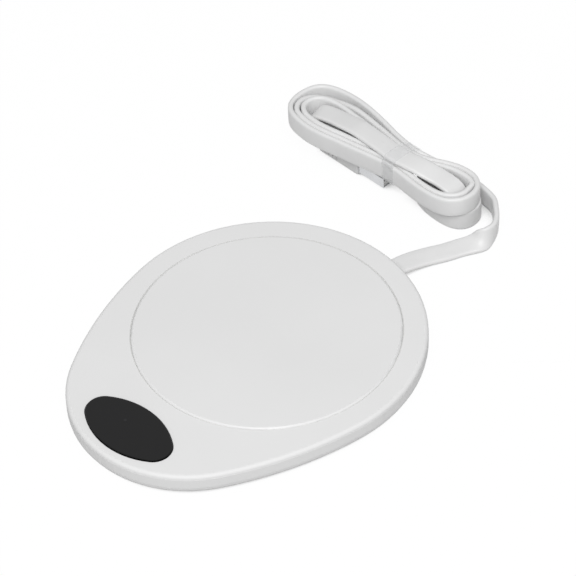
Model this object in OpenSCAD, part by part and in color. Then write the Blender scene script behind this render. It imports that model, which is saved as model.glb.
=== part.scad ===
// Electric mug warmer: a flat teardrop coaster with a round heating plate, a push key in its nose
// and a flat supply cord that is folded into a hank. Millimetres, +Z up, +Y towards the cord.
// The origin is the centre of the body's footprint, on the surface that the feet stand on.

/* [Body] */
// Radius of the round rear, about the heating plate's centre
rear_r = 53.4; // [53:0.1:56]
// Radius of the nose round the push key
nose_r = 41.6; // [40:0.1:44]
// Distance from the plate's centre forward to the centre of the nose
nose_shift = 33.4; // [32:0.1:35]
// Radius of the long side arcs that run from the nose into the rear
side_r = 129; // [120:1:150]
// Height of the body without its feet
body_h = 8.6; // [8.6:0.1:10]
// Thickness of the moulded walls
wall = 1.4; // [1.2:0.1:1.6]
// Radius of the bottom shell's lower edge
bottom_round = 3.6; // [3:0.1:4]
// Radius of the top cover's edge
top_round = 1.3; // [1:0.05:1.35]
// Height of the rubber feet below the bottom shell
foot_h = 0.8; // [0.6:0.1:1.2]

/* [Heating plate] */
// Radius of the heating plate
plate_r = 45; // [44:0.1:45.2]
// Thickness of the heating plate
plate_t = 1.6; // [1.2:0.1:1.6]
// How far the heating plate stands above the cover
plate_proud = 0.45; // [0.3:0.05:0.6]
// Gap between the plate and the cover's opening
plate_gap = 0.3; // [0.25:0.05:0.4]
// Radius of the heating plate's upper edge
plate_round = 0.8; // [0.4:0.1:1]
// Number of rings in the heater's foil track
track_rings = 8; // [5:1:9]

/* [Push key] */
// Half length of the oval key
key_a = 18; // [17:0.1:19]
// Half width of the oval key
key_b = 9.9; // [9:0.1:10.5]
// Distance from the plate's centre forward to the key's centre
key_shift = 61.7; // [61:0.1:62.5]
// How far the key stands above the cover
key_proud = 0.6; // [0.5:0.05:0.8]
// Travel of the key
key_travel = 0.4; // [0.3:0.05:0.5]

/* [Supply cord] */
// Width of the flat cord
cord_w = 7.8; // [7:0.1:7.8]
// Thickness of the flat cord
cord_t = 1.9; // [1.7:0.1:2]
// Width of the tie along the hank
tie_w = 5.4; // [4.5:0.1:6.5]

/* [Plug] */
// Length of the plug's moulded grip
grip_l = 24.5; // [22:0.5:25]
// Width of the plug's moulded grip
grip_w = 13.6; // [13:0.1:14.4]
// Length of the plug's steel shell outside the grip
shell_l = 12; // [11.5:0.1:12]

/* [Hidden] */

// Levels, from the standing surface up
shell_z = foot_h;
floor_z = shell_z + wall;
top_z = shell_z + body_h;
part_z = top_z - 1.4;
lip_z = part_z - 1.1;
plate_top_z = top_z + plate_proud;
plate_z = plate_top_z - plate_t;
ledge_top_z = part_z - 0.5;
ledge_z = ledge_top_z - 1;
film_t = 0.3;
track_t = 0.1;
track_z = plate_z - film_t - track_t;
felt_z = ledge_z - 0.3;
shield_t = 0.7;
shield_z = felt_z - shield_t;
board_z = floor_z + 1.4;
board_t = 1;
board_top_z = board_z + board_t;
switch_top_z = board_top_z + 1.9;
plunger_top_z = switch_top_z + 0.25 + key_travel;
key_top_z = top_z + key_proud;
crease = 0.5;

// The body's centre is the middle of its length, so the plate sits behind it
plate_y = (nose_shift + nose_r - rear_r) / 2;
key_y = plate_y - key_shift;
side_y = ((side_r - nose_r) ^ 2 - (side_r - rear_r) ^ 2 - nose_shift ^ 2) / (2 * nose_shift);
side_x = sqrt((side_r - rear_r) ^ 2 - side_y ^ 2);
rear_angle = atan2(-side_y, side_x);
nose_angle = atan2(-nose_shift - side_y, side_x);

// Points along one arc, without its last one
function arc(cx, cy, r, from, to, n) =
    [for (i = [0:n - 1]) let (a = from + (to - from) * i / n) [cx + r * cos(a), cy + r * sin(a)]];

// The teardrop, moved inwards: rear circle, nose circle and two side arcs that touch both
function teardrop(inset) = concat(
    arc(0, plate_y, rear_r - inset, rear_angle, 180 - rear_angle, 44),
    arc(side_x, plate_y + side_y, side_r - inset, 180 - rear_angle, 180 - nose_angle, 12),
    arc(0, plate_y - nose_shift, nose_r - inset, 180 - nose_angle, 360 + nose_angle, 26),
    arc(-side_x, plate_y + side_y, side_r - inset, nose_angle, rear_angle, 12));

// The key's oval of four arcs, moved outwards
key_side_r = 1.48 * key_a;
key_end_r = (key_side_r ^ 2 - key_a ^ 2 - (key_side_r - key_b) ^ 2) / (2 * (key_side_r - key_a));
key_angle = atan2(key_side_r - key_b, key_a - key_end_r);
function key_oval(grow) = concat(
    arc(key_a - key_end_r, key_y, key_end_r + grow, -key_angle, key_angle, 14),
    arc(0, key_y + key_b - key_side_r, key_side_r + grow, key_angle, 180 - key_angle, 14),
    arc(key_end_r - key_a, key_y, key_end_r + grow, 180 - key_angle, 180 + key_angle, 14),
    arc(0, key_y - key_b + key_side_r, key_side_r + grow, 180 + key_angle, 360 - key_angle, 14));

// One closed solid through rings of points, with the first and the last ring capped. The
// sides are flat quads between level rings and pairs of triangles along a bent path.
module loft(rings, bent = false) {
    n = len(rings[0]);
    m = len(rings);
    bottom = [[for (i = [0:n - 1]) i]];
    top = [[for (i = [n - 1:-1:0]) (m - 1) * n + i]];
    quads = [for (j = [0:m - 2], i = [0:n - 1])
        [(j + 1) * n + i, (j + 1) * n + (i + 1) % n, j * n + (i + 1) % n, j * n + i]];
    sides = bent ? [for (q = quads) each [[q[0], q[1], q[2]], [q[0], q[2], q[3]]]] : quads;
    polyhedron([for (ring = rings) each ring], concat(bottom, sides, top), convexity = 6);
}

function at_height(outline, z) = [for (p = outline) [p[0], p[1], z]];
// Rings of an outline that rise or fall by a list of [inset, height]
function teardrop_rings(profile) = [for (p = profile) at_height(teardrop(p[0]), p[1])];
function oval_rings(profile) = [for (p = profile) at_height(key_oval(-p[0]), p[1])];

module at_plate(angle, r) {
    translate([0, plate_y, 0]) rotate(angle) translate([r, 0, 0]) children();
}

// Sweep of a section along a path. The bank turns the section about the path:
// 0 lays it flat and 90 stands it on edge, with its left edge up.
function unit(v) = v / norm(v);
function heading(path, i) =
    unit(path[min(i + 1, len(path) - 1)] - path[max(i - 1, 0)]);
function swept_ring(path, banks, section, i) =
    let (t = heading(path, i), right = unit(cross(t, [0, 0, 1])), up = cross(right, t),
        w = cos(banks[i]) * right - sin(banks[i]) * up,
        n = cos(banks[i]) * up + sin(banks[i]) * right)
    [for (p = section) path[i] + p[0] * w + p[1] * n];
module sweep(path, banks, section) {
    loft([for (i = [0:len(path) - 1]) swept_ring(path, banks, section, i)], bent = true);
}
function level(path) = [for (p = path) 0];
function round_section(r) = [for (i = [0:7]) [r * cos(-45 * i), r * sin(-45 * i)]];
function flat_section(w, t) = [for (i = [0:11]) let (a = -30 * i - 15, s = t / 2 / cos(15))
    [s * cos(a) + (cos(a) > 0 ? 1 : -1) * (w - t) / 2, s * sin(a)]];
// A smooth path through hand-set points
function blend(a, b, c, d, u) =
    ((2 * b) + (c - a) * u + (2 * a - 5 * b + 4 * c - d) * u ^ 2
        + (3 * b - a - 3 * c + d) * u ^ 3) / 2;
function smooth(points, steps) =
    let (last = len(points) - 1)
    concat([for (i = [0:last - 1], s = [0:steps - 1])
        blend(points[max(i - 1, 0)], points[i], points[i + 1], points[min(i + 2, last)], s / steps)],
        [points[last]]);

// Screws: where each one stands, and their sizes
case_spots = [
    [49.4 * cos(35), plate_y + 49.4 * sin(35)], [-49.4 * cos(35), plate_y + 49.4 * sin(35)],
    [29.5, plate_y - 51], [-29.5, plate_y - 51]
];
shield_angles = [5, 175, 222, 318];
shield_screw_r = 49.2;
board_spots = [[-21.5, -47], [21.5, -47], [-9, -57], [9, -57]];
foot_spots = [[30, 36], [-30, 36], [19, -44], [-19, -44]];
foot_r = 5;
foot_recess = 0.5;
case_post_z = floor_z + 2.4;

module screw(spot, head_z, head_r, head_h, shank_r, shank_l) {
    translate([spot[0], spot[1], head_z]) {
        difference() {
            cylinder(h = head_h, r = head_r, $fn = 32);
            translate([0, 0, -0.01]) cylinder(h = head_h / 2, r = head_r * 0.45, $fn = 6);
        }
        translate([0, 0, head_h]) cylinder(h = shank_l, r = shank_r, $fn = 32);
    }
}

// Screw boss under the cover, with a blind pilot hole
module boss(spot, z, pilot_r) {
    translate([spot[0], spot[1], 0]) difference() {
        translate([0, 0, z]) cylinder(h = part_z + 0.1 - z, r = 2.2, $fn = 32);
        translate([0, 0, z - 1]) cylinder(h = part_z - 0.6 - z + 1, r = pilot_r, $fn = 32);
    }
}

// Moulded top cover: edge rounded into the side, lip that locates it in the bottom shell,
// ledge under the plate's opening and bosses for the screws from below
module top_cover() {
    edge = [for (a = [0:18:90]) [top_round * (1 - cos(a)), top_z - top_round * (1 - sin(a))]];
    body = concat(
        [[2.3, part_z], [2.3, lip_z], [1.5, lip_z], [1.5, part_z], [crease, part_z],
            [0.12, part_z + 0.04]], edge);
    color([0.9, 0.9, 0.9]) {
        difference() {
            loft(teardrop_rings(body));
            translate([0, plate_y, lip_z - 1]) cylinder(h = 5, r = plate_r + plate_gap, $fn = 128);
            loft(oval_rings([[-0.25, lip_z - 1], [-0.25, top_z + 1]]));
        }
        translate([0, plate_y, 0]) rotate_extrude($fn = 128) polygon([
            [plate_r + plate_gap, part_z + 0.1], [plate_r + plate_gap, ledge_top_z],
            [plate_r - 3.5, ledge_top_z], [plate_r - 3.5, ledge_z],
            [plate_r + 1.8, ledge_z], [plate_r + 1.8, part_z + 0.1]]);
        for (spot = case_spots) boss(spot, case_post_z, 0.85);
        for (angle = shield_angles)
            boss([shield_screw_r * cos(angle), plate_y + shield_screw_r * sin(angle)], felt_z, 0.75);
    }
}

// Post that rises from inside the shell's floor
module post(spot, top, r) {
    translate([spot[0], spot[1], floor_z - 0.9]) cylinder(h = top - floor_z + 0.9, r = r, $fn = 32);
}

module pilot(spot) {
    translate([spot[0], spot[1], floor_z]) cylinder(h = 4, r = 0.7, $fn = 32);
}

// Moulded bottom shell: a shallow tray with a wide lower edge, screw posts, board posts,
// floor ribs, a saddle for the cord and four round recesses for the feet
module bottom_shell() {
    outer = [for (a = [90:-18:0]) bottom_round * [1 - cos(a), 1 - sin(a)] + [0, shell_z]];
    inner_round = bottom_round - wall;
    inner = [for (a = [0:30:90]) inner_round * [1 - cos(a), 1 - sin(a)] + [wall, floor_z]];
    rim = [[0, part_z - 0.13], [0.12, part_z - 0.04], [crease, part_z], [wall, part_z]];
    body = concat(outer, rim, inner);
    color([0.88, 0.88, 0.88]) difference() {
        union() {
            loft(teardrop_rings(body));
            for (spot = case_spots) post(spot, case_post_z, 3.2);
            for (spot = board_spots) post(spot, board_z, 2);
            at_exit() {
                for (spot = clamp_spots) post(spot, cord_z + cord_t / 2, 2);
                translate([-3.5, clamp_r - 2, floor_z - 0.5])
                    cube([7, 3.8, cord_z - cord_t / 2 - floor_z + 0.5]);
            }
            translate([0, plate_y, floor_z - 0.5]) difference() {
                cylinder(h = 1.3, r = 31, $fn = 96);
                translate([0, 0, -1]) cylinder(h = 4, r = 30, $fn = 96);
            }
            for (angle = [30:60:330]) at_plate(angle, 8)
                translate([0, -0.5, floor_z - 0.5]) cube([22.6, 1, 1.3]);
        }
        for (spot = case_spots) {
            translate([spot[0], spot[1], shell_z - 1]) cylinder(h = 2.8, r = 2.3, $fn = 32);
            translate([spot[0], spot[1], shell_z]) cylinder(h = 6, r = 1.15, $fn = 32);
        }
        for (spot = board_spots) pilot(spot);
        at_exit() for (spot = clamp_spots) pilot(spot);
        for (spot = foot_spots)
            translate([spot[0], spot[1], shell_z - 1])
                cylinder(h = 1 + foot_recess, r = foot_r + 0.1, $fn = 64);
        at_slot(-4) linear_extrude(height = 5.5) slot_outline(1.7);
    }
}

module rubber_feet() {
    color([0.85, 0.85, 0.85]) for (spot = foot_spots)
        translate([spot[0], spot[1], 0]) rotate_extrude($fn = 64) union() {
            translate([0, 0.4]) square([foot_r, foot_h + foot_recess - 0.4]);
            square([foot_r - 0.4, foot_h]);
        }
}

module case_screws() {
    color([0.6, 0.6, 0.62]) for (spot = case_spots)
        screw(spot, shell_z + 0.5, 2.1, 1.3, 0.95, 4.6);
}

// Heating plate: a coated aluminium disc with a rounded rim and a shallow stepped back
module heating_plate() {
    color([0.9, 0.9, 0.9]) translate([0, plate_y, plate_z]) rotate_extrude($fn = 128) union() {
        square([plate_r - plate_round, plate_t]);
        square([plate_r, plate_t - plate_round]);
        translate([plate_r - plate_round, plate_t - plate_round]) circle(r = plate_round, $fn = 64);
    }
}

module ring(r_in, r_out, z, h) {
    translate([0, plate_y, z]) difference() {
        cylinder(h = h, r = r_out, $fn = 128);
        translate([0, 0, -1]) cylinder(h = h + 2, r = r_in, $fn = 128);
    }
}

// Soft ring under the plate's rim, with a thin lip that closes the gap round the plate
module plate_gasket() {
    color([0.85, 0.85, 0.84]) {
        ring(plate_r - 3.2, plate_r - 0.3, ledge_top_z, plate_z - ledge_top_z);
        ring(plate_r + 0.04, plate_r + plate_gap - 0.04, plate_z - 0.5, top_z - 0.15 - plate_z + 0.5);
        ring(plate_r - 0.6, plate_r + plate_gap - 0.04, plate_z - 0.5, 0.4);
    }
}

module heater_film() {
    color([0.85, 0.55, 0.2]) translate([0, plate_y, plate_z - film_t])
        cylinder(h = film_t, r = 40.5, $fn = 128);
}

// Etched foil track: each ring is split into a left and a right half. Each half runs inwards
// ring by ring, the two halves meet at the innermost ring and both ends come out at the front.
module heater_track() {
    pitch = 4.2;
    first_r = 7;
    track_w = 2;
    gap = 7;
    last = track_rings - 1;
    color([0.72, 0.45, 0.25]) translate([0, plate_y, track_z]) {
        for (side = [0, 1], k = [0:last]) mirror([side, 0, 0]) {
            r = first_r + k * pitch;
            half_gap = gap / 2 / r * 57.3;
            rotate(-90 + half_gap) rotate_extrude(angle = 180 - 2 * half_gap, $fn = 96)
                translate([r - track_w / 2, 0]) square([track_w, track_t]);
            y = (track_rings - k) % 2 == 0 ? r - track_w / 2 : -r - pitch - track_w / 4;
            if (k < last) translate([gap / 2, y, 0]) cube([track_w, pitch + track_w * 3 / 4, track_t]);
        }
        y = track_rings % 2 == 0 ? -first_r : first_r;
        translate([-gap / 2 - 1, y - track_w / 2, 0]) cube([gap + 2, track_w, track_t]);
    }
}

// Felt disc that keeps the heat off the bottom, cut out for the sensor, the cut-off and the leads
module insulation_felt() {
    color([0.93, 0.92, 0.88]) difference() {
        translate([0, plate_y, felt_z]) cylinder(h = track_z - felt_z, r = 40.5, $fn = 96);
        translate([0, plate_y + 6, felt_z - 1]) cylinder(h = 4, r = 3, $fn = 48);
        translate([9, plate_y - 17, felt_z - 1]) cube([12, 6, 4]);
        translate([-8, plate_y - 45, felt_z - 1]) cube([16, 10, 4]);
    }
}

// Pressed aluminium shield under the felt, hung from the cover by four ears
module heat_shield() {
    color([0.75, 0.76, 0.78]) difference() {
        union() {
            translate([0, plate_y, shield_z]) cylinder(h = shield_t, r = 43.5, $fn = 96);
            for (angle = shield_angles) at_plate(angle, 40) {
                translate([0, -2.5, shield_z]) cube([9.4, 5, shield_t]);
                translate([9.4, 0, shield_z]) cylinder(h = shield_t, r = 2.5, $fn = 32);
            }
        }
        for (angle = shield_angles) at_plate(angle, shield_screw_r)
            translate([0, 0, shield_z - 1]) cylinder(h = 3, r = 1.15, $fn = 32);
        translate([0, plate_y + 6, shield_z - 1]) cylinder(h = 3, r = 3, $fn = 48);
        translate([-8, plate_y - 45, shield_z - 1]) cube([16, 9, 3]);
        for (angle = [15:30:345]) at_plate(angle, 24)
            translate([0, 0, shield_z - 1]) cylinder(h = 3, r = 2.2, $fn = 32);
    }
}

module shield_screws() {
    color([0.6, 0.6, 0.62]) for (angle = shield_angles)
        screw([shield_screw_r * cos(angle), plate_y + shield_screw_r * sin(angle)],
            shield_z - 1.1, 1.9, 1.1, 0.85, 1.9);
}

// Bead thermistor that is pressed against the heater through the felt
module heat_sensor() {
    color([0.2, 0.2, 0.22]) translate([0, plate_y + 6, felt_z + 0.1]) {
        cylinder(h = track_z + track_t - felt_z - 0.1, r = 1.4, $fn = 32);
        translate([-2.4, -0.8, 0.2]) cube([4.8, 1.6, 0.6]);
    }
}

module thermal_cutoff() {
    color([0.9, 0.88, 0.8]) translate([10.2, plate_y - 16, felt_z + 0.1]) {
        cube([9.6, 4, track_z - felt_z - 0.1]);
        translate([-0.9, 1.6, 0.4]) cube([11.4, 0.8, 0.4]);
    }
}

// Push key: an oval cap with a skirt, a flange that holds it under the cover and a centre stem
guide_spot = [-3.3, key_y + 1.6];
module key_cap() {
    rim = 0.35;
    body = [
        [1.1, top_z - 0.4], [1.1, part_z - 0.8], [-1, part_z - 0.8], [-1, part_z - 0.1],
        [0, part_z - 0.1], [0, key_top_z - rim], [0.1, key_top_z - 0.1], [rim, key_top_z]
    ];
    color([0.17, 0.17, 0.18]) difference() {
        union() {
            loft(oval_rings(body));
            translate([0, key_y, plunger_top_z]) cylinder(h = top_z - plunger_top_z, r = 1.7, $fn = 32);
            for (x = [-9, 9]) translate([x - 0.5, key_y - 8.4, part_z]) cube([1, 16.8, 1.2]);
            translate([guide_spot[0], guide_spot[1], part_z]) cylinder(h = 1.2, r = 1.2, $fn = 32);
        }
        translate([guide_spot[0], guide_spot[1], 0]) cylinder(h = 20, r = 0.5, $fn = 32);
    }
}

module key_light_guide() {
    color([0.35, 0.35, 0.37]) translate([guide_spot[0], guide_spot[1], board_top_z + 1])
        cylinder(h = key_top_z - board_top_z - 1, r = 0.5, $fn = 32);
}

// Plunger of the tactile switch: it slides in the switch case and carries the key's stem
plunger_r = 1.5;
module switch_plunger() {
    color([0.12, 0.12, 0.12]) translate([0, key_y, board_top_z + 1])
        cylinder(h = plunger_top_z - board_top_z - 1, r = plunger_r, $fn = 48);
}

module switch_case() {
    color([0.3, 0.3, 0.32]) difference() {
        union() {
            translate([-2.25, key_y - 2.25, board_top_z]) cube([4.5, 4.5, 1.9]);
            for (x = [-1.9, 1.1], y = [-3, 2.1])
                translate([x, key_y + y, board_top_z]) cube([0.8, 0.9, 0.3]);
        }
        translate([0, key_y, board_top_z + 0.4]) cylinder(h = 3, r = plunger_r + 0.05, $fn = 48);
    }
}

module indicator_led() {
    color([0.95, 0.9, 0.6]) translate([guide_spot[0] - 0.5, guide_spot[1] - 0.4, board_top_z])
        cube([1, 0.8, 0.45]);
}

// Control board: the nose's own curve in front, straight behind, with four screw holes
module control_board() {
    color([0.1, 0.4, 0.25]) difference() {
        intersection() {
            translate([0, plate_y - nose_shift, board_z]) cylinder(h = board_t, r = nose_r - 3.6, $fn = 128);
            translate([-24, key_y - 9, board_z]) cube([48, 21, board_t]);
        }
        for (spot = board_spots)
            translate([spot[0], spot[1], board_z - 1]) cylinder(h = 3, r = 1, $fn = 32);
    }
}

module board_screws() {
    color([0.6, 0.6, 0.62]) for (spot = board_spots) translate([spot[0], spot[1], board_top_z]) {
        cylinder(h = 0.9, r = 1.5, $fn = 32);
        translate([0, 0, -2.2]) cylinder(h = 2.2, r = 0.75, $fn = 32);
    }
}

// Controller in a small-outline case and the heater's switching transistor, each with its legs
module chip(x, y, l, w, legs) {
    translate([x, y, board_top_z]) {
        translate([-l / 2, -w / 2, 0.1]) cube([l, w, 1.3]);
        pitch = l / legs;
        for (i = [0:legs - 1], side = [-1, 1])
            translate([-l / 2 + (i + 0.3) * pitch, side > 0 ? w / 2 - 0.1 : -w / 2 - 0.9, 0])
                cube([0.4 * pitch, 1, 0.3]);
    }
}
module board_chips() {
    color([0.15, 0.15, 0.16]) {
        chip(9.5, -48.5, 5, 3.9, 4);
        chip(-10, -49.5, 6.2, 5.4, 2);
    }
}

module board_capacitor() {
    color([0.75, 0.62, 0.4]) {
        translate([5, -43.6, board_top_z]) cube([3.2, 1.6, 1.4]);
        translate([-6.6, -43.6, board_top_z]) cube([2, 1.25, 1]);
        translate([4.8, -54.6, board_top_z]) cube([1.6, 0.8, 0.5]);
        translate([-5.6, -55, board_top_z]) cube([1.6, 0.8, 0.5]);
    }
}

// Two header housings for the leads, at the left and the right of the board's rear edge
header_x = 17;
header_y = -41.3;
lead_pitch = 2.2;
lead_z = board_top_z + 1;
module lead_headers() {
    color([0.93, 0.93, 0.9]) for (side = [-1, 1])
        translate([side * header_x, header_y, 0]) difference() {
            translate([-4, -2.3, board_top_z]) cube([8, 4.7, 2]);
            for (i = [-1, 0, 1]) translate([lead_pitch * i, 0, lead_z])
                rotate([-90, 0, 0]) cylinder(h = 5, r = 0.65, $fn = 32);
        }
}

// Insulated leads, each swept along its own hand-set path into its place in a header
module lead(points, r, place) {
    ends = [for (y = [4, 2.8, 0.3]) [place, header_y + y, lead_z]];
    line = smooth(concat(points, ends), 3);
    sweep(line, level(line), round_section(r));
}
module supply_leads() {
    color([0.75, 0.1, 0.1]) lead([
        exit_point(-1.5, 45.15), exit_point(-1.5, 44), [4.6, 52.6, 3.4], [9, 48, 3.3], [24, 44, 3.4],
        [36, 31, 3.4], [41, 12, 3.4], [38.5, -10, 3.4], [31, -26, 3.4], [22, -32, 4.2], [16, -34.4, 5.2]
    ], 0.6, header_x - lead_pitch);
    color([0.1, 0.1, 0.1]) lead([
        exit_point(1.5, 45.15), exit_point(1.5, 44), [7.8, 53.2, 3.4], [11, 50.2, 3.3], [25.5, 45.8, 3.4],
        [38, 31.8, 3.4], [42.9, 12, 3.4], [40.4, -10.6, 3.4], [32.9, -27.4, 3.4], [25, -33, 4.2],
        [20.2, -35, 5.2]
    ], 0.6, header_x + lead_pitch);
}
module heater_leads() {
    color([0.95, 0.95, 0.95]) {
        lead([[4.4, -24.4, 7.4], [4.2, -27, 7.35], [2, -30, 6.2], [-4, -31.6, 5.2], [-13, -33.6, 5.2]],
            0.45, -header_x);
        lead([[-4.6, -24.4, 7.4], [-4.6, -27, 7.35], [-5, -29, 6.2], [-9, -30, 5], [-17, -33.2, 5]],
            0.45, -header_x - lead_pitch);
    }
}
module sensor_leads() {
    color([0.9, 0.8, 0.2]) lead([
        [0, 18.6, 5.9], [0, 17, 5.9], [0, 15.4, 5.4], [0, 13.8, 4.75], [0, 10, 4.5], [1.5, -10, 4.5],
        [0.5, -28, 4.4], [-5, -33.4, 4.6], [-12, -35.2, 5.1]
    ], 0.4, -header_x + lead_pitch);
}

// The cord leaves the rear wall a little to the right of its middle, square to the wall
exit_angle = -6.1;
cord_z = 3.5;
clamp_r = 47.6;
clamp_half = 6.2;
clamp_spots = [[-clamp_half, clamp_r], [clamp_half, clamp_r]];
module at_exit() {
    translate([0, plate_y, 0]) rotate(exit_angle) children();
}
// A point x beside the cord's middle and y out from the plate's centre
function exit_point(x, y) = [
    cos(exit_angle) * x - sin(exit_angle) * y, plate_y + sin(exit_angle) * x + cos(exit_angle) * y, cord_z
];

// The slot in the rear wall: a flat opening with round ends, drawn about the cord's middle
module slot_outline(r) {
    square([cord_w - 0.8, 2 * r], center = true);
    for (x = [-1, 1]) translate([x * (cord_w / 2 - 0.4), 0]) circle(r = r, $fn = 48);
}
module at_slot(y) {
    at_exit() translate([0, rear_r + y, cord_z]) rotate([-90, 0, 0]) children();
}

// Soft grommet: neck in the slot, flange inside the wall and a short stepped collar outside
module cord_grommet() {
    color([0.86, 0.86, 0.86]) difference() {
        union() {
            at_slot(-3.7) linear_extrude(height = 3.8) slot_outline(1.7);
            at_slot(-3.7) linear_extrude(height = 0.7) intersection() {
                slot_outline(1.95);
                translate([-10, -10]) square([20, 11]);
            }
            at_slot(0.05) linear_extrude(height = 1) slot_outline(2.1);
            at_slot(1) linear_extrude(height = 0.6) slot_outline(1.85);
        }
        at_slot(-6) linear_extrude(height = 10)
            polygon(flat_section(cord_w + 0.16, cord_t + 0.16));
    }
}

module cord_clamp() {
    color([0.8, 0.8, 0.8]) at_exit() difference() {
        translate([-clamp_half - 1.6, clamp_r - 1.8, cord_z + cord_t / 2])
            cube([2 * clamp_half + 3.2, 3.6, 1.2]);
        for (spot = clamp_spots)
            translate([spot[0], spot[1], cord_z]) cylinder(h = 4, r = 1, $fn = 32);
    }
}

module clamp_screws() {
    color([0.6, 0.6, 0.62]) at_exit() for (spot = clamp_spots)
        translate([spot[0], spot[1], cord_z + cord_t / 2 + 1.2]) {
            cylinder(h = 0.7, r = 1.6, $fn = 32);
            translate([0, 0, -3.2]) cylinder(h = 3.2, r = 0.75, $fn = 32);
        }
}

// Route of the cord's middle from the clamp to the hank, with its bank in degrees
cord_route = [
    for (y = [45.2, 50.2, 55.4]) [each exit_point(0, y), 0],
    [6.2, 68.5, 3.25, 2], [7.1, 73.1, 2.6, 4], [8.8, 78.7, 1.8, 4], [11.2, 84.4, 1.25, 4],
    [13.3, 89.2, 1.2, 4], [15.2, 92.7, 1.55, 6], [16.5, 94.5, 2.35, 22], [17.4, 96.1, 3.4, 55],
    [17.8, 98.4, 3.9, 80], [17.1, 102.3, 3.95, 90], [13.7, 107.3, 3.95, 90], [9.2, 110.9, 3.95, 90],
    [3.8, 112.3, 4.1, 90], [-1.6, 112.4, 4.7, 90], [-6.4, 111.6, 5.7, 90], [-10, 109.9, 7, 90],
    [-13.5, 107.8, 8.6, 90], [-17.6, 106, 10.1, 90]
];
module cord_run() {
    line = smooth(cord_route, 3);
    color([0.9, 0.9, 0.9])
        sweep([for (p = line) [p[0], p[1], p[2]]], [for (p = line) p[3]], flat_section(cord_w, cord_t));
}

// The hank: two lobes of turns on edge, pinched at the tie, with a flat run over them that folds
// down into the plug at the left, and a lower turn on edge under the right lobe
hank_mid_x = -23;
hank_mid_y = 98.2;
hank_z = 7.8;
hank_top = hank_z + cord_w;
low_run_z = 2.6;
fold_x = -66.3;
descent_z = 4.2;
tie_z = 6.2;
waist_half = 7.1;
top_run_y = 97.1;
top_run_z = hank_top + cord_t + 0.3;
left_lobe = [-61.3, 98.4, 12];
right_lobe = [-0.2, 100.2, 9.5];
module lobe(spot, side) {
    hull() {
        translate([spot[0], spot[1]]) circle(r = spot[2], $fn = 64);
        translate([hank_mid_x + side * (tie_w / 2 + 0.4), hank_mid_y])
            square([0.4, 2 * waist_half], center = true);
    }
}
module cord_hank() {
    color([0.9, 0.9, 0.9]) {
        translate([0, 0, hank_z]) linear_extrude(height = cord_w) {
            lobe(left_lobe, -1);
            lobe(right_lobe, 1);
            translate([hank_mid_x, hank_mid_y]) square([tie_w + 1, 2 * waist_half], center = true);
        }
        translate([fold_x, plug_y - cord_w / 2, low_run_z])
            cube([plug_x - fold_x, cord_w, hank_z - low_run_z + 0.5]);
        translate([-40, top_run_y - cord_w / 2, hank_top - 1]) cube([28, cord_w, top_run_z - hank_top + 1]);
        linear_extrude(height = hank_z + 0.5) hull() {
            translate([1.7, 102.4]) circle(r = 7.2, $fn = 64);
            translate([-11.6, hank_mid_y - 3]) square([1, 10]);
        }
        translate([-19, hank_mid_y - 3, descent_z]) cube([9, 2.4, hank_z - descent_z + 0.5]);
    }
}

// Clear film tie that holds the turns together at the waist
module hank_tie() {
    side = waist_half + 0.1;
    section = [
        [hank_mid_y - 4, tie_z], [hank_mid_y + 4, tie_z],
        [hank_mid_y + side, hank_z - 0.1], [hank_mid_y + side, hank_top + 0.1],
        [top_run_y + 4, top_run_z + 0.05], [top_run_y - 4, top_run_z + 0.05],
        [hank_mid_y - side, hank_top + 0.1], [hank_mid_y - side, hank_z - 0.1]
    ];
    color([0.9, 0.92, 0.93, 0.6]) translate([hank_mid_x - tie_w / 2, 0, 0]) rotate([90, 0, 90])
        linear_extrude(height = tie_w) difference() {
            offset(r = 0.4, $fn = 24) polygon(section);
            polygon(section);
        }
}

// The plug lies flat under the hank's left lobe, with its steel shell towards the tie
plug_x = -63;
plug_y = 98.7;
plug_z = hank_z / 2;
shell_w = 12;
shell_h = 4.5;
module rounded_slab(w, h, r) {
    square([w - 2 * r, h], center = true);
    square([w, h - 2 * r], center = true);
    for (x = [-1, 1], y = [-1, 1]) translate([x * (w / 2 - r), y * (h / 2 - r)]) circle(r = r, $fn = 32);
}
// Moulded grip: a rounded block, a neck that tapers to the cord and gripping grooves a side
function slab_ring(w, h, r, z) =
    [for (c = [0:3], i = [0:4])
        let (a = 90 * c + 22.5 * i, x = c == 0 || c == 3 ? w / 2 - r : r - w / 2,
            y = c < 2 ? h / 2 - r : r - h / 2)
        [x + r * cos(a), y + r * sin(a), z]];
module plug_grip() {
    color([0.88, 0.88, 0.88]) translate([plug_x, plug_y, plug_z]) rotate([90, 0, 90]) difference() {
        loft([
            slab_ring(cord_w + 1.6, cord_t + 1.6, 1.6, 0),
            slab_ring(cord_w + 2.4, cord_t + 2.8, 2, 0.5),
            slab_ring(grip_w - 1.6, hank_z - 1, 2.2, 4.4),
            slab_ring(grip_w, hank_z, 2.2, 6),
            slab_ring(grip_w, hank_z, 2.2, grip_l - 0.8),
            slab_ring(grip_w - 0.6, hank_z - 0.6, 2, grip_l - 0.2),
            slab_ring(grip_w - 1.4, hank_z - 1.4, 1.8, grip_l)
        ]);
        for (i = [0:3], side = [-1, 1])
            translate([side * (grip_w / 2 + 0.1), 0, 8.4 + 2 * i]) cube([0.9, 4, 0.8], center = true);
        translate([0, 0, grip_l - 1]) linear_extrude(height = 2)
            rounded_slab(shell_w + 0.02, shell_h + 0.02, 0.4);
    }
}

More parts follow.
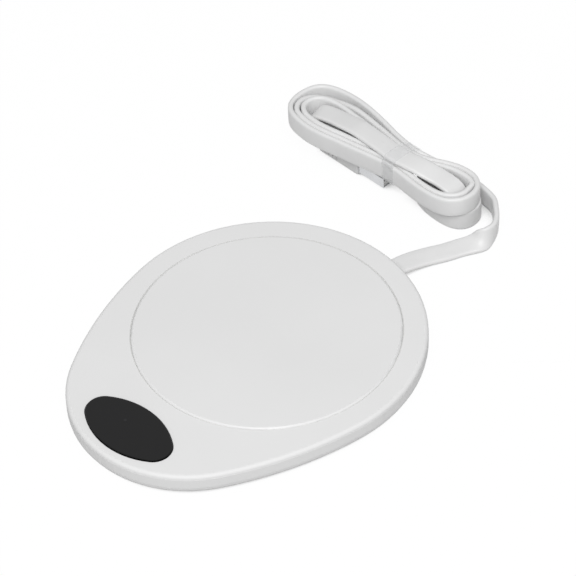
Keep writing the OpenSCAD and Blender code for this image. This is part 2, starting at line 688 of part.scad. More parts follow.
// Folded steel shell of the plug, open at its front, with two latch windows a side
module at_shell() {
    translate([plug_x + grip_l - 1, plug_y, plug_z]) rotate([90, 0, 90]) children();
}
module plug_shell() {
    depth = shell_l + 1;
    color([0.8, 0.8, 0.82]) at_shell() difference() {
        linear_extrude(height = depth) rounded_slab(shell_w, shell_h, 0.4);
        translate([0, 0, 0.5]) linear_extrude(height = depth)
            rounded_slab(shell_w - 0.6, shell_h - 0.6, 0.25);
        for (x = [-2.5, 2.5]) translate([x, 0, 7.5]) cube([2, 10, 2], center = true);
    }
}

module plug_tongue() {
    color([0.93, 0.93, 0.93]) at_shell()
        translate([-5.4, -shell_h / 2 + 0.3, 0.5]) cube([10.8, 1.8, 11.8]);
}

module plug_contacts() {
    color([0.85, 0.7, 0.3]) at_shell() for (i = [0:3])
        translate([-4.1 + 2.4 * i, -shell_h / 2 + 2.1, 2.5]) cube([1, 0.15, 9]);
}

top_cover();
bottom_shell();
rubber_feet();
case_screws();
heating_plate();
plate_gasket();
heater_film();
heater_track();
insulation_felt();
heat_shield();
shield_screws();
heat_sensor();
thermal_cutoff();
key_cap();
key_light_guide();
switch_plunger();
switch_case();
indicator_led();
control_board();
board_screws();
board_chips();
board_capacitor();
lead_headers();
supply_leads();
heater_leads();
sensor_leads();
cord_grommet();
cord_clamp();
clamp_screws();
cord_run();
cord_hank();
hank_tie();
plug_grip();
plug_shell();
plug_tongue();
plug_contacts();
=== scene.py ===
import math

import bpy
from mathutils import Matrix, Vector


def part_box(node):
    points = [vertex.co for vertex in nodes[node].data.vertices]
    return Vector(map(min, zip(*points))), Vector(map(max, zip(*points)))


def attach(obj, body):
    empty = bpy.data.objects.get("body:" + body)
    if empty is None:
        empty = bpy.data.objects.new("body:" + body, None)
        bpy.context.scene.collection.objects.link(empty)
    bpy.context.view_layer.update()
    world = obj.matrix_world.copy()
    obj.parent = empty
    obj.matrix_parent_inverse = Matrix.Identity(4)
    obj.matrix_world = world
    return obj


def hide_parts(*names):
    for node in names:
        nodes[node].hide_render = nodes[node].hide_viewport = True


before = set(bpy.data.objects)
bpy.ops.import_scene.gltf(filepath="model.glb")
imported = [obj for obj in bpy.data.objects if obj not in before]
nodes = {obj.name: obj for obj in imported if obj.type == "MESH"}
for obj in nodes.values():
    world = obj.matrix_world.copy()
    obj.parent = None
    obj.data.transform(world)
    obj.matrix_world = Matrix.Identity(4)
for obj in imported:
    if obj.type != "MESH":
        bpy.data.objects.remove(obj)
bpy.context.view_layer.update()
mm = 0.001


# Camera: a long lens, about a metre away, that looks down on the coaster from in front and to
# the right, and is slightly rolled. It aims beside the heating plate's middle, at the height
# of the cover, so that the hank has room behind the body.
def way_to(turn, rise):
    """The direction of a place seen from the coaster, at a turn from its nose to the right."""
    return Vector((math.sin(turn) * math.cos(rise), -math.cos(turn) * math.cos(rise), math.sin(rise)))


plate_low, plate_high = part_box("heating_plate")
cover_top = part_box("top_cover")[1][2]
plate_middle = Vector(((plate_low[0] + plate_high[0]) / 2, (plate_low[1] + plate_high[1]) / 2, cover_top))
camera_turn = math.radians(47.681)
camera_rise = math.radians(44.086)
camera_roll = math.radians(-2.985)
camera_distance = 1.03625
aim_right = 7.02 * mm
aim_up = 13.938 * mm
backwards = way_to(camera_turn, camera_rise)
level = Vector((math.cos(camera_turn), math.sin(camera_turn), 0))
upright = backwards.cross(level)
right = math.cos(camera_roll) * level + math.sin(camera_roll) * upright
up = math.cos(camera_roll) * upright - math.sin(camera_roll) * level
lens = bpy.data.cameras.new("camera")
lens.sensor_fit = "HORIZONTAL"
lens.sensor_width = 36
lens.lens = 196.2953125
lens.clip_end = 20
camera = bpy.data.objects.new("camera", lens)
bpy.context.scene.collection.objects.link(camera)
camera.matrix_world = Matrix.Translation(
    plate_middle + backwards * camera_distance + right * aim_right + up * aim_up
) @ Matrix((right, up, backwards)).transposed().to_4x4()
bpy.context.scene.camera = camera

# Supply cord: flat two-core cord, extruded in soft white vinyl. It leaves the rear grommet,
# turns on edge, makes three turns of the hank and a low one, runs flat over them to the left
# end and folds down into the plug.
cord_width = 7.8 * mm
cord_thickness = 1.9 * mm
cord_corner = 0.9 * mm
cord_crown = 0.05 * mm
ring_spacing = 0.8 * mm

# From the clamp to the hank: x, y and z in millimetres, and the bank in degrees. The first
# places lie on the line from the plate's middle out through the clamp and the grommet.
exit_turn = math.radians(6.1)
exit_height = 3.5
exit_distances = (45.2, 50.2, 55.4)
run_route = [
    (math.sin(exit_turn) * out, plate_middle.y / mm + math.cos(exit_turn) * out, exit_height, 0)
    for out in exit_distances
] + [
    (6.2, 68.5, 3.25, 2), (7.1, 73.1, 2.6, 4), (8.8, 78.7, 1.8, 4), (11.2, 84.4, 1.25, 4),
    (13.2, 89.4, 1.2, 4), (14.9, 92.4, 1.5, 7), (16.4, 94.4, 2.4, 22), (17.6, 96, 3.3, 50),
    (18.2, 98.2, 3.8, 76), (17.8, 101.3, 3.95, 90), (16, 104.6, 4, 92), (13.1, 107.6, 4.05, 92),
    (9.1, 110.9, 4.1, 90), (3.8, 112.3, 4.1, 90), (-1.6, 112.4, 4.7, 90), (-6.4, 111.6, 5.7, 90),
    (-10, 109.9, 7, 90), (-13.5, 107.8, 8.6, 90), (-17.6, 106, 10.1, 90),
]

# In the hank, stretch by stretch: the cord's width direction, the height of its middle in
# millimetres, and the x and y of the places that it passes. A place with a third value has
# that height.
standing = (0, 0, 1)
lying = (0, -1, 0)
turn_height = 11.7
low_height = 3.95
strip_height = 16.75
hank_route = [
    # First turn, from the waist's far side round the left end and the right end
    (standing, turn_height, [
        (-23, 104.6, 11.5), (-31.6, 105.6), (-37, 106.8), (-44, 108.3), (-50.7, 109.3),
        (-56.5, 109.6), (-61.5, 109.2), (-65.7, 108.3), (-69, 106.7), (-71.2, 104.3),
        (-72.2, 101.3), (-72.5, 98.2), (-72.2, 95), (-71, 91.9), (-68.6, 89.6), (-65.5, 88.3),
        (-62, 87.7), (-58, 87.4), (-52, 87.9), (-45.7, 89), (-39, 90.1), (-33, 91.2), (-26.5, 92.2),
        (-22.5, 92.4), (-18, 92.3), (-12.4, 91.7), (-6.8, 91.4), (-1.7, 91.6), (2.4, 92.6),
        (5.1, 94.5), (7, 97.1), (7.7, 100.3), (7.3, 103.4), (5.9, 106), (3.5, 107.9), (0.2, 108.8),
        (-4.5, 108.5), (-9.2, 107), (-13.5, 105), (-17.5, 103.4),
    ]),
    # Second turn, which dips at the left end
    (standing, turn_height, [
        (-23, 102.6), (-29, 102.9), (-35, 103.8), (-41, 104.6), (-46, 105.2), (-50.5, 105.6),
        (-54.3, 105.7, 11.3), (-57.8, 105.7, 10.6), (-61.1, 105.4, 9.95), (-64.5, 104.6, 9.8),
        (-67.4, 103, 9.9), (-69.2, 100.8, 10.3), (-70, 98.2, 10.9), (-69.9, 95.6, 11.5), (-69, 93.1),
        (-67.1, 91.1), (-64.3, 90), (-60.7, 89.45), (-56.8, 89.35), (-51.9, 89.85), (-45.7, 90.95),
        (-39, 92.05), (-33, 93.15), (-26.5, 94.15), (-22.5, 94.35), (-18, 94.25), (-12.4, 93.7),
        (-6.9, 93.35), (-2.3, 93.6), (1, 94.6), (3.3, 96.3), (4.7, 98.4), (5.2, 100.6), (4.8, 103),
        (4.2, 105.1), (1.9, 106.4), (-1.1, 106.7), (-5.2, 106.3), (-9.5, 104.95), (-13.5, 103),
        (-17.5, 101.4),
    ]),
    # Third turn, which goes down to the floor at the waist
    (standing, turn_height, [
        (-23, 100.6), (-29, 100.84), (-35, 101.31), (-41, 102.1), (-46, 102.6), (-50.6, 102.85),
        (-54.6, 103.2), (-58.2, 103.35), (-60.9, 103.12), (-63.5, 102.6), (-65.8, 101.37),
        (-67.3, 99.3), (-67.8, 97), (-67.3, 94.8), (-65.7, 93), (-63.2, 91.8), (-59.9, 91.35),
        (-56.2, 91.3), (-51.9, 91.8), (-45.7, 92.9), (-39, 94), (-33, 95.1), (-29, 95.75),
        (-26, 96.1, 11.65), (-23.4, 96.3, 11.3), (-20.8, 96.4, 10.4), (-18.2, 96.4, 9),
        (-15.6, 96.35, 7.3), (-13, 96.3, 5.8), (-10.4, 95.9, 4.6), (-7.6, 95.5, 4.05),
    ]),
    # Low turn, under the right end, and the small bend inside it
    (standing, low_height, [
        (-4, 95.3), (-1, 95.3), (2.4, 95.8), (5.3, 97.2), (7.1, 99.6), (7.5, 102.6), (6.7, 105.6),
        (4.2, 107.9), (0.6, 108.7), (-3.6, 108.2), (-7, 106.7), (-10.4, 105), (-13.3, 104.1),
        (-15.8, 103.3), (-17.2, 102), (-16.8, 100.6), (-15, 99.9), (-12, 99.9), (-8.6, 100.2),
    ]),
    # The cord lies down
    ((0, -0.4, 1), 4.2, [(-6.6, 100.3)]),
    ((0, -1, 0.8), 4.8, [(-4.6, 100.9)]),
    ((0, -1, 0.2), 5.2, [(-2.8, 101.4)]),
    # It folds up inside the right end and runs over the turns to the left one
    (lying, strip_height, [
        (-1.2, 101.6, 5.5), (0.3, 101.6, 6.4), (1.3, 101.5, 8), (1.4, 101.3, 9.8), (0.6, 101.1, 11.7),
        (-1, 100.9, 13), (-3.4, 100.6, 13.7), (-6.4, 100.2, 14.3), (-9.3, 99.3, 15.2),
        (-12, 98.4, 16.1), (-14.6, 97.8, 16.6), (-17.5, 97.2), (-20, 96.9), (-23, 96.7), (-26, 96.7),
        (-30, 97), (-35, 97.3), (-39.5, 97.6, 16.7), (-43, 97.8, 16.5), (-46, 97.9, 16),
        (-49.5, 97.9, 15.4), (-53, 97.9, 14.85),
    ]),
    # It folds down, slightly askew, and back into the plug
    ((0.12, -1, 0), 14.35, [(-56.8, 97.7)]),
    ((0.25, -1, 0), 12.6, [(-60.3, 97.3, 13.7), (-62.5, 97.1), (-63.6, 96.9, 11)]),
    ((0.15, -1, 0), 9.2, [(-63.9, 97)]),
    (lying, 3.9, [
        (-64.2, 97.4, 7.4), (-65, 98, 5.9), (-65, 98.4, 4.7), (-64.3, 98.6, 4.05), (-63, 98.7),
        (-61.9, 98.7),
    ]),
]


def banked(bank, ahead):
    """The cord's width direction: level across its way, turned up by the bank in degrees."""
    side = Vector((-ahead.y, ahead.x, 0)).normalized()
    return math.cos(math.radians(bank)) * side + math.sin(math.radians(bank)) * Vector((0, 0, 1))


def route_line():
    """Every place on the route in metres, with the cord's width direction there."""
    places = [Vector(stop[:3]) for stop in run_route]
    line = []
    for i, place in enumerate(places):
        ahead = places[min(i + 1, len(places) - 1)] - places[max(i - 1, 0)]
        line.append((place * mm, banked(run_route[i][3], ahead)))
    for direction, height, stops in hank_route:
        for x, y, *own_height in stops:
            z = own_height[0] if own_height else height
            line.append((Vector((x, y, z)) * mm, Vector(direction).normalized()))
    return line


def smooth_line(line, steps):
    """A Catmull-Rom curve through the places and their width directions."""
    curve = []
    for i in range(len(line) - 1):
        before, here, there, beyond = (line[max(0, min(len(line) - 1, k))] for k in range(i - 1, i + 3))
        for j in range(steps):
            t = j / steps
            curve.append([
                ((2 * b) + (c - a) * t + (2 * a - 5 * b + 4 * c - d) * t ** 2
                 + (3 * b - a - 3 * c + d) * t ** 3) / 2
                for a, b, c, d in zip(before, here, there, beyond)
            ])
    curve.append(list(line[-1]))
    return curve


def even_line(curve, spacing):
    """The same curve with its places an even distance apart, and its length."""
    lengths = [0]
    for (a, _), (b, _) in zip(curve, curve[1:]):
        lengths.append(lengths[-1] + (b - a).length)
    count = round(lengths[-1] / spacing)
    even = []
    k = 0
    for i in range(count + 1):
        wanted = lengths[-1] * i / count
        while k < len(curve) - 2 and lengths[k + 1] < wanted:
            k += 1
        t = (wanted - lengths[k]) / (lengths[k + 1] - lengths[k])
        even.append([p.lerp(q, t) for p, q in zip(curve[k], curve[k + 1])])
    return even, lengths[-1]


def flat_section(width, thickness, corner, crown):
    """The cord's outline: flat faces that crown a little, and round edges."""
    corner_steps = 4
    outline = []
    for quarter in range(4):
        x = (width / 2 - corner) * (1 if quarter in (0, 3) else -1)
        y = (thickness / 2 - corner) * (1 if quarter < 2 else -1)
        for i in range(corner_steps + 1):
            turn = math.pi / 2 * (quarter + i / corner_steps)
            outline.append((x + corner * math.cos(turn), y + corner * math.sin(turn)))
        if quarter in (0, 2):
            for share in (0.55, 0, -0.55):
                face = thickness / 2 + crown * (1 - share ** 2)
                outline.append((x * share, face if quarter == 0 else -face))
    return outline


def swept_mesh(name, curve, outline):
    """A closed tube of the outline's shape, with lengthwise and crosswise metres in its UV map."""
    rings = []
    verts = []
    for i, (place, width_way) in enumerate(curve):
        ahead = (curve[min(i + 1, len(curve) - 1)][0] - curve[max(i - 1, 0)][0]).normalized()
        across = (width_way - ahead * width_way.dot(ahead)).normalized()
        upward = ahead.cross(across)
        rings.append(len(verts))
        verts += [place + across * x + upward * y for x, y in outline]
    n = len(outline)
    faces = [(a + k, a + (k + 1) % n, b + (k + 1) % n, b + k)
             for a, b in zip(rings, rings[1:]) for k in range(n)]
    faces += [tuple(range(n - 1, -1, -1)), tuple(rings[-1] + k for k in range(n))]
    mesh = bpy.data.meshes.new(name)
    mesh.from_pydata(verts, [], faces)
    around = [0]
    for k in range(n):
        around.append(around[-1] + math.dist(outline[k], outline[(k + 1) % n]))
    uv = mesh.uv_layers.new(name="along_cord")
    step = (curve[1][0] - curve[0][0]).length
    for face in mesh.polygons[:-2]:
        ring, k = divmod(face.index, n)
        corners = [(ring, k), (ring, k + 1), (ring + 1, k + 1), (ring + 1, k)]
        for loop, (r, c) in zip(face.loop_indices, corners):
            uv.data[loop].uv = (r * step, around[c])
    mesh.validate()
    piece = bpy.data.objects.new(name, mesh)
    bpy.context.scene.collection.objects.link(piece)
    return piece


def smooth_skin(piece, angle):
    """Normals outwards and smooth shading up to an angle in degrees, as on an extruded surface."""
    bpy.ops.object.select_all(action="DESELECT")
    piece.select_set(True)
    bpy.context.view_layer.objects.active = piece
    bpy.ops.object.mode_set(mode="EDIT")
    bpy.ops.mesh.select_all(action="SELECT")
    bpy.ops.mesh.normals_make_consistent(inside=False)
    bpy.ops.object.mode_set(mode="OBJECT")
    bpy.ops.object.shade_smooth_by_angle(angle=math.radians(angle))


def linear(value):
    """Linear share of a written 0 to 255 value."""
    share = value / 255
    return share / 12.92 if share <= 0.04045 else ((share + 0.055) / 1.055) ** 2.4


def colour(red, green, blue):
    """A shader colour from written 0 to 255 values."""
    return (linear(red), linear(green), linear(blue), 1)


def new_finish(name, tint, roughness):
    """A material with its Principled shader and the object's own coordinates."""
    finish = bpy.data.materials.new(name)
    finish.use_nodes = True
    tree = finish.node_tree
    shader = tree.nodes["Principled BSDF"]
    shader.inputs["Base Color"].default_value = tint
    shader.inputs["Roughness"].default_value = roughness
    place = tree.nodes.new("ShaderNodeTexCoord")
    return finish, tree, shader, place.outputs["Object"]


def noise(tree, place, scale, detail=2.0):
    """Soft clouds, so many to the metre."""
    cloud = tree.nodes.new("ShaderNodeTexNoise")
    cloud.inputs["Scale"].default_value = scale
    cloud.inputs["Detail"].default_value = detail
    tree.links.new(place, cloud.inputs["Vector"])
    return cloud.outputs["Fac"]


def stretched(tree, place, scale):
    """The same places with each axis at its own scale, so that a pattern draws out."""
    mapping = tree.nodes.new("ShaderNodeMapping")
    mapping.inputs["Scale"].default_value = scale
    tree.links.new(place, mapping.inputs["Vector"])
    return mapping.outputs["Vector"]


def ramp(tree, source, start, end, low, high):
    """Maps a pattern's range from start to end onto the values from low to high."""
    range_node = tree.nodes.new("ShaderNodeMapRange")
    range_node.inputs["From Min"].default_value = start
    range_node.inputs["From Max"].default_value = end
    range_node.inputs["To Min"].default_value = low
    range_node.inputs["To Max"].default_value = high
    tree.links.new(source, range_node.inputs["Value"])
    return range_node.outputs["Result"]


def spread(tree, source, low, high):
    """Maps the middle range of a cloud pattern onto the values from low to high."""
    return ramp(tree, source, 0.3, 0.7, low, high)


def two_tints(tree, shader, share, tint, darker, lighter):
    """Lets the tint wander between a darker and a lighter share of itself."""
    mix = tree.nodes.new("ShaderNodeMix")
    mix.data_type = "RGBA"
    mix.inputs["A"].default_value = [value * darker for value in tint[:3]] + [1]
    mix.inputs["B"].default_value = [min(1, value * lighter) for value in tint[:3]] + [1]
    tree.links.new(share, mix.inputs["Factor"])
    tree.links.new(mix.outputs["Result"], shader.inputs["Base Color"])


def relief(tree, shader, height, depth):
    """Raises the surface by the pattern, up to a depth in metres."""
    bump = tree.nodes.new("ShaderNodeBump")
    bump.inputs["Strength"].default_value = 1
    bump.inputs["Distance"].default_value = depth
    tree.links.new(height, bump.inputs["Height"])
    tree.links.new(bump.outputs["Normal"], shader.inputs["Normal"])


def extruded_vinyl(name, tint, roughness):
    """Soft vinyl: faint die lines along the cord, a slight unevenness and a dull sheen."""
    finish, tree, shader, place = new_finish(name, tint, roughness)
    own_map = tree.nodes.new("ShaderNodeUVMap")
    own_map.uv_map = "along_cord"
    die_lines = noise(tree, stretched(tree, own_map.outputs["UV"], (40, 2600, 1)), 1.0)
    two_tints(tree, shader, spread(tree, noise(tree, place, 90), 0, 1), tint, 0.98, 1.01)
    tree.links.new(spread(tree, noise(tree, place, 700), roughness - 0.05, roughness + 0.05),
                   shader.inputs["Roughness"])
    relief(tree, shader, die_lines, 0.012 * mm)
    return finish


cord_curve, cord_length = even_line(smooth_line(route_line(), steps=8), ring_spacing)
cord_outline = flat_section(cord_width, cord_thickness, cord_corner, cord_crown)
cord = swept_mesh("supply_cord", cord_curve, cord_outline)
smooth_skin(cord, angle=50)
cord.data.materials.append(extruded_vinyl("cord_vinyl_look", colour(231, 231, 231), roughness=0.42))
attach(cord, "body")
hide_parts("cord_run", "cord_hank")

# Hank tie: a strip of clear film, drawn once round the waist of the hank over the turns'
# outsides, and sealed where its ends overlap. It is a flat span that is drawn on, corner by
# corner, and then given its thickness outwards.
film_width = 5.4 * mm
film_thickness = 0.1 * mm
film_middle = -23 * mm
lap_rise = 0.16 * mm
lap_places = 8
corner_cut = 0.7 * mm
corner_steps = 5
# The waist's corners: y and z in millimetres
waist = [Vector(corner) * mm for corner in (
    (91.35, 15.6), (91.35, 7.75), (95.2, 6.2), (97.5, 6.2), (105.65, 7.5), (105.65, 15.5),
    (101.1, 17.9), (92.9, 17.9)
)]
loop = []
for before, corner, after in zip(waist[-1:] + waist[:-1], waist, waist[1:] + waist[:1]):
    start = corner + (before - corner).normalized() * corner_cut
    end = corner + (after - corner).normalized() * corner_cut
    for i in range(corner_steps + 1):
        t = i / corner_steps
        loop.append(start.lerp(corner, t).lerp(corner.lerp(end, t), t))
film_path = []
for i, point in enumerate(loop + loop[:lap_places]):
    ahead = loop[(i + 1) % len(loop)] - loop[(i - 1) % len(loop)]
    outwards = Vector((ahead.y, -ahead.x)).normalized()
    film_path.append(point + outwards * lap_rise * i / len(loop))
first_span = film_path[1] - film_path[0]
first_middle = (film_path[0] + film_path[1]) / 2
bpy.ops.object.select_all(action="DESELECT")
bpy.ops.mesh.primitive_plane_add(
    size=1, location=(film_middle, first_middle.x, first_middle.y),
    rotation=(math.atan2(first_span.y, first_span.x), 0, 0)
)
film = bpy.context.active_object
film.name = "hank_film"
film.scale = (film_width, first_span.length, 1)
bpy.ops.object.transform_apply(location=True, rotation=True, scale=True)
bpy.ops.object.mode_set(mode="EDIT")
bpy.ops.mesh.select_all(action="DESELECT")
bpy.ops.object.mode_set(mode="OBJECT")
for vertex in film.data.vertices:
    vertex.select = (Vector(vertex.co[1:]) - film_path[1]).length < first_span.length / 2
bpy.ops.object.mode_set(mode="EDIT")
bpy.ops.mesh.select_mode(type="EDGE")
for here, there in zip(film_path[1:], film_path[2:]):
    step = there - here
    bpy.ops.mesh.extrude_region_move(TRANSFORM_OT_translate={"value": (0, step.x, step.y)})
bpy.ops.mesh.select_mode(type="VERT")
bpy.ops.object.mode_set(mode="OBJECT")
wall = film.modifiers.new("film wall", "SOLIDIFY")
wall.thickness = film_thickness
wall.offset = 1
bpy.ops.object.modifier_apply(modifier=wall.name)
smooth_skin(film, angle=40)
film_look, tree, shader, place = new_finish("clear_film_look", colour(246, 247, 248), roughness=0.12)
shader.inputs["Alpha"].default_value = 0.14
tree.links.new(spread(tree, noise(tree, place, 260), 0.08, 0.2), shader.inputs["Roughness"])
relief(tree, shader, noise(tree, place, 320), 0.008 * mm)
film.data.materials.append(film_look)
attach(film, "body")
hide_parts("hank_tie")


# Moulded housing: the top cover and the bottom shell, injection moulded in white ABS with a
# fine matt grain. They meet in a crease under the cover's rounded edge and are screwed
# together from below.
def dress(node, finish):
    """Gives a CAD node its finish."""
    for slot in nodes[node].material_slots:
        slot.material = finish


def moulded(name, tint, roughness, grain, depth):
    """A moulded or coated surface: fine grain, a breath of flow in the tint, uneven dullness."""
    finish, tree, shader, place = new_finish(name, tint, roughness)
    two_tints(tree, shader, spread(tree, noise(tree, place, 22), 0, 1), tint, 0.985, 1.012)
    tree.links.new(spread(tree, noise(tree, place, 160), roughness - 0.04, roughness + 0.05),
                   shader.inputs["Roughness"])
    relief(tree, shader, noise(tree, place, grain, 3.0), depth)
    return finish


shell_look = moulded("shell_white_look", colour(231, 231, 231), roughness=0.58, grain=2600,
                     depth=0.01 * mm)
dress("top_cover", shell_look)
dress("bottom_shell", shell_look)

# Feet: four low round pads of white silicone rubber, moulded with a dull skin and glued into
# the recesses in the shell's underside.
dress("rubber_feet", moulded("foot_rubber_look", colour(214, 214, 212), roughness=0.75, grain=1300,
                             depth=0.03 * mm))


# Screws: small screws of zinc plated steel with flat round heads, headed and rolled from
# wire. They hold the two housing halves, the heat shield, the board and the cord's clamp.
def bare_metal(name, tint, roughness, scale, stretch):
    """Drawn, rolled or plated metal with its grain stretched in one direction."""
    finish, tree, shader, place = new_finish(name, tint, roughness)
    shader.inputs["Metallic"].default_value = 1
    grain = noise(tree, stretched(tree, place, stretch), scale, 3.0)
    two_tints(tree, shader, spread(tree, noise(tree, place, 120), 0, 1), tint, 0.94, 1.03)
    tree.links.new(spread(tree, grain, roughness - 0.06, roughness + 0.08), shader.inputs["Roughness"])
    relief(tree, shader, grain, 0.003 * mm)
    return finish


screw_look = bare_metal("steel_look", colour(196, 197, 200), roughness=0.3, scale=900,
                        stretch=(1, 1, 6))
for name in ("case_screws", "shield_screws", "board_screws", "clamp_screws"):
    dress(name, screw_look)

# Grommet and clamp: a soft vinyl sleeve, moulded round the cord and held in the rear wall, and
# a bar of plain white nylon that is screwed down on the cord inside the shell.
soft_look = moulded("plug_vinyl_look", colour(226, 226, 226), roughness=0.5, grain=2200,
                    depth=0.012 * mm)
dress("cord_grommet", soft_look)
dress("cord_clamp", moulded("clamp_nylon_look", colour(222, 221, 214), roughness=0.45, grain=1500,
                            depth=0.008 * mm))

# Plug: the grip is moulded round the cord in the grommet's vinyl. Its shell is folded from
# plated sheet steel, round a white nylon tongue with gold plated contacts.
dress("plug_grip", soft_look)
dress("plug_shell", bare_metal("plug_steel_look", colour(208, 209, 211), roughness=0.24, scale=700,
                               stretch=(1, 9, 9)))
dress("plug_tongue", moulded("tongue_look", colour(236, 236, 234), roughness=0.35, grain=1800,
                             depth=0.004 * mm))
dress("plug_contacts", bare_metal("contact_gold_look", colour(222, 184, 96), roughness=0.22, scale=900,
                                  stretch=(1, 9, 9)))

# Control board: glass cloth laminate under green mask, with the copper areas a lighter green.
# It is etched, drilled and cut to fit the nose, and screwed to four posts of the shell.
board_green = colour(26, 92, 60)
board_look, tree, shader, place = new_finish("board_look", board_green, roughness=0.3)
copper_areas = ramp(tree, noise(tree, place, 190, 0.0), 0.49, 0.51, 0, 1)
two_tints(tree, shader, copper_areas, board_green, 0.8, 1.7)
relief(tree, shader, copper_areas, 0.03 * mm)
dress("control_board", board_look)

# On the board: chips in black resin, tan ceramic capacitors, cream nylon headers for the
# leads, and a lamp cast in clear resin. All are soldered down.
dress("board_chips", moulded("chip_look", colour(38, 38, 40), roughness=0.5, grain=2400,
                             depth=0.01 * mm))
dress("board_capacitor", moulded("ceramic_look", colour(178, 144, 100), roughness=0.35, grain=1800,
                                 depth=0.006 * mm))
dress("lead_headers", moulded("header_look", colour(236, 232, 216), roughness=0.42, grain=1500,
                              depth=0.008 * mm))
lamp_look = moulded("lamp_look", colour(240, 234, 206), roughness=0.1, grain=1500, depth=0.002 * mm)
lamp_look.node_tree.nodes["Principled BSDF"].inputs["Transmission Weight"].default_value = 0.5
dress("indicator_led", lamp_look)

# Leads: stranded copper wire in soft extruded insulation, red from the cord, white from the
# heater and yellow from the sensor. Their ends are crimped and pushed into the headers.
for name, tint in (("supply_leads", colour(186, 36, 34)), ("heater_leads", colour(232, 232, 230)),
                   ("sensor_leads", colour(226, 190, 62))):
    dress(name, moulded(name + "_look", tint, roughness=0.4, grain=1200, depth=0.012 * mm))

# Switch: a case and a plunger moulded in black nylon, snapped together round a spring dome and
# soldered to the board under the key.
dress("switch_case", moulded("switch_case_look", colour(52, 53, 56), roughness=0.5, grain=1800,
                             depth=0.008 * mm))
dress("switch_plunger", moulded("plunger_look", colour(38, 38, 40), roughness=0.4, grain=1500,
                                depth=0.004 * mm))

# Push key: a black oval cap, moulded with a lightly hazed flat top and a rounded rim. Painted shade: the
# rim's black is darkened to a third, and its specular is lowered, by how far it tilts from the top, so
# that it shows dark all round. The end of a smoked light guide sits flush in it.
key_black = colour(17, 17, 18)
key_look = moulded("key_black_look", key_black, roughness=0.2, grain=1500, depth=0.003 * mm)
tree = key_look.node_tree
shader = tree.nodes["Principled BSDF"]
facing = tree.nodes.new("ShaderNodeTexCoord")
facing_axes = tree.nodes.new("ShaderNodeSeparateXYZ")
tree.links.new(facing.outputs["Normal"], facing_axes.inputs["Vector"])
# Painted shade: this mask is 1 on the flat top and 0 on the rounded rim, which is darkened and given less
# reflection so that it shows dark.
top_clear_of_rim_shade = ramp(tree, facing_axes.outputs["Z"], 0.8, 0.98, 0, 1)
two_tints(tree, shader, top_clear_of_rim_shade, key_black, 0.3, 1)
tree.links.new(spread(tree, top_clear_of_rim_shade, 0.12, 0.5), shader.inputs["Specular IOR Level"])
dress("key_cap", key_look)
dress("key_light_guide", moulded("guide_smoke_look", colour(33, 33, 35), roughness=0.25, grain=1500,
                                 depth=0.002 * mm))

# Heater film and track: amber film with a copper track etched on it, pressed flat against the
# plate's underside.
dress("heater_film", moulded("film_amber_look", colour(196, 128, 44), roughness=0.28, grain=1200,
                             depth=0.006 * mm))
dress("heater_track", bare_metal("copper_look", colour(200, 128, 92), roughness=0.34, scale=1200,
                                 stretch=(1, 1, 1)))

# Insulation and shield: a disc of needled cream felt, held up by a pressed aluminium sheet
# that still shows its rolling lines. The sheet hangs from the cover by its screwed ears.
felt_cream = colour(234, 231, 220)
felt_look, tree, shader, place = new_finish("felt_look", felt_cream, roughness=0.95)
fibres = noise(tree, stretched(tree, place, (900, 260, 900)), 1.0, 5.0)
two_tints(tree, shader, spread(tree, fibres, 0, 1), felt_cream, 0.82, 1.05)
relief(tree, shader, fibres, 0.25 * mm)
dress("insulation_felt", felt_look)
dress("heat_shield", bare_metal("aluminium_look", colour(206, 208, 211), roughness=0.36, scale=260,
                                stretch=(1, 14, 1)))

# Heat sensor and thermal cut-off: a dark glass bead and a pale ceramic case on their wires,
# both set into cut-outs of the felt against the heater.
dress("heat_sensor", moulded("bead_look", colour(48, 44, 42), roughness=0.15, grain=1500,
                             depth=0.004 * mm))
dress("thermal_cutoff", moulded("cutoff_look", colour(228, 224, 208), roughness=0.4, grain=1800,
                                depth=0.01 * mm))

# Plate gasket: a soft white silicone ring, moulded in one piece with the lip that closes the
# gap round the plate.
dress("plate_gasket", moulded("gasket_look", colour(224, 224, 222), roughness=0.6, grain=1500,
                              depth=0.02 * mm))

# Heating plate: an aluminium disc, pressed and then coated white. The coating is baked on and
# flows a little as it bakes, which leaves it smoother than the cover.
dress("heating_plate", moulded("plate_coat_look", colour(231, 231, 231), roughness=0.4, grain=900,
                               depth=0.012 * mm))

# Floor: a wide white sheet that the coaster lies on. Its grey takes light and shadow, and a glow over it
# shows it white to the eye and in reflections. Painted shade: the glow is dimmed where an occlusion
# measure finds the floor shut in, so that places inside the cord's turns stay dark.
floor_size = 12
glow_share = 0.93
floor_look = bpy.data.materials.new("floor_look")
floor_look.use_nodes = True
tree = floor_look.node_tree
matt = tree.nodes["Principled BSDF"]
matt.inputs["Base Color"].default_value = (0.5, 0.5, 0.5, 1)
matt.inputs["Roughness"].default_value = 1
matt.inputs["Specular IOR Level"].default_value = 0
openness = tree.nodes.new("ShaderNodeAmbientOcclusion")
openness.samples = 24
openness.inputs["Distance"].default_value = 0.04
glow = tree.nodes.new("ShaderNodeEmission")
# Painted shade: the glow's strength follows how open the floor is, and falls nearly to nothing where the
# cord's turns shut it in.
tree.links.new(ramp(tree, openness.outputs["AO"], 0.02, 0.24, 0.05, 1.04), glow.inputs["Strength"])
rays = tree.nodes.new("ShaderNodeLightPath")
glow_rays = rays.outputs["Is Camera Ray"]
for kind in ("Is Glossy Ray", "Is Transmission Ray"):
    either = tree.nodes.new("ShaderNodeMath")
    either.operation = "MAXIMUM"
    tree.links.new(glow_rays, either.inputs[0])
    tree.links.new(rays.outputs[kind], either.inputs[1])
    glow_rays = either.outputs[0]
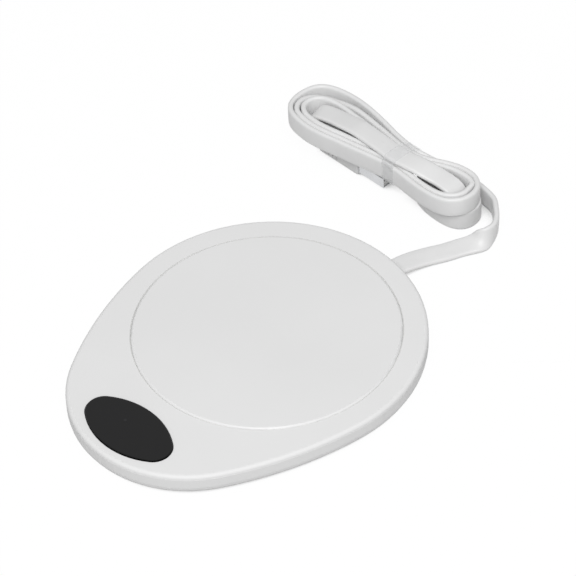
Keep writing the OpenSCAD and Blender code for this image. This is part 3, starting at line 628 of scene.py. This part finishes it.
glow_part = tree.nodes.new("ShaderNodeMath")
glow_part.operation = "MULTIPLY"
glow_part.inputs[1].default_value = glow_share
tree.links.new(glow_rays, glow_part.inputs[0])
blend = tree.nodes.new("ShaderNodeMixShader")
tree.links.new(glow_part.outputs[0], blend.inputs["Fac"])
tree.links.new(matt.outputs["BSDF"], blend.inputs[1])
tree.links.new(glow.outputs["Emission"], blend.inputs[2])
tree.links.new(blend.outputs["Shader"], tree.nodes["Material Output"].inputs["Surface"])
bpy.ops.object.select_all(action="DESELECT")
bpy.ops.mesh.primitive_plane_add(size=floor_size, location=(0, 0, 0))
floor = bpy.context.active_object
floor.name = "floor"
floor.data.materials.append(floor_look)

# Room: even white light from all round, with a plain backdrop behind the floor that only the
# camera sees.
room_strength = 0.45
world = bpy.data.worlds.new("studio")
bpy.context.scene.world = world
world.use_nodes = True
tree = world.node_tree
room_light = tree.nodes["Background"]
room_light.inputs["Color"].default_value = (1, 1, 1, 1)
room_light.inputs["Strength"].default_value = room_strength
backdrop = tree.nodes.new("ShaderNodeBackground")
backdrop.inputs["Strength"].default_value = 1
rays = tree.nodes.new("ShaderNodeLightPath")
blend = tree.nodes.new("ShaderNodeMixShader")
tree.links.new(rays.outputs["Is Camera Ray"], blend.inputs["Fac"])
tree.links.new(room_light.outputs["Background"], blend.inputs[1])
tree.links.new(backdrop.outputs["Background"], blend.inputs[2])
tree.links.new(blend.outputs["Shader"], tree.nodes["World Output"].inputs["Surface"])

# Softbox: one wide round lamp, higher than the camera and on its side of the coaster, for
# soft shadows behind the body.
softbox = bpy.data.lights.new("softbox", "AREA")
softbox.shape = "DISK"
softbox.size = 1.2
softbox.energy = 24.2
softbox_distance = 1.9
softbox_way = way_to(camera_turn, math.radians(55))
softbox_piece = bpy.data.objects.new("softbox", softbox)
softbox_piece.location = softbox_way * softbox_distance
softbox_piece.rotation_euler = softbox_way.to_track_quat("Z", "Y").to_euler()
bpy.context.scene.collection.objects.link(softbox_piece)

bpy.context.scene.view_settings.view_transform = "Standard"
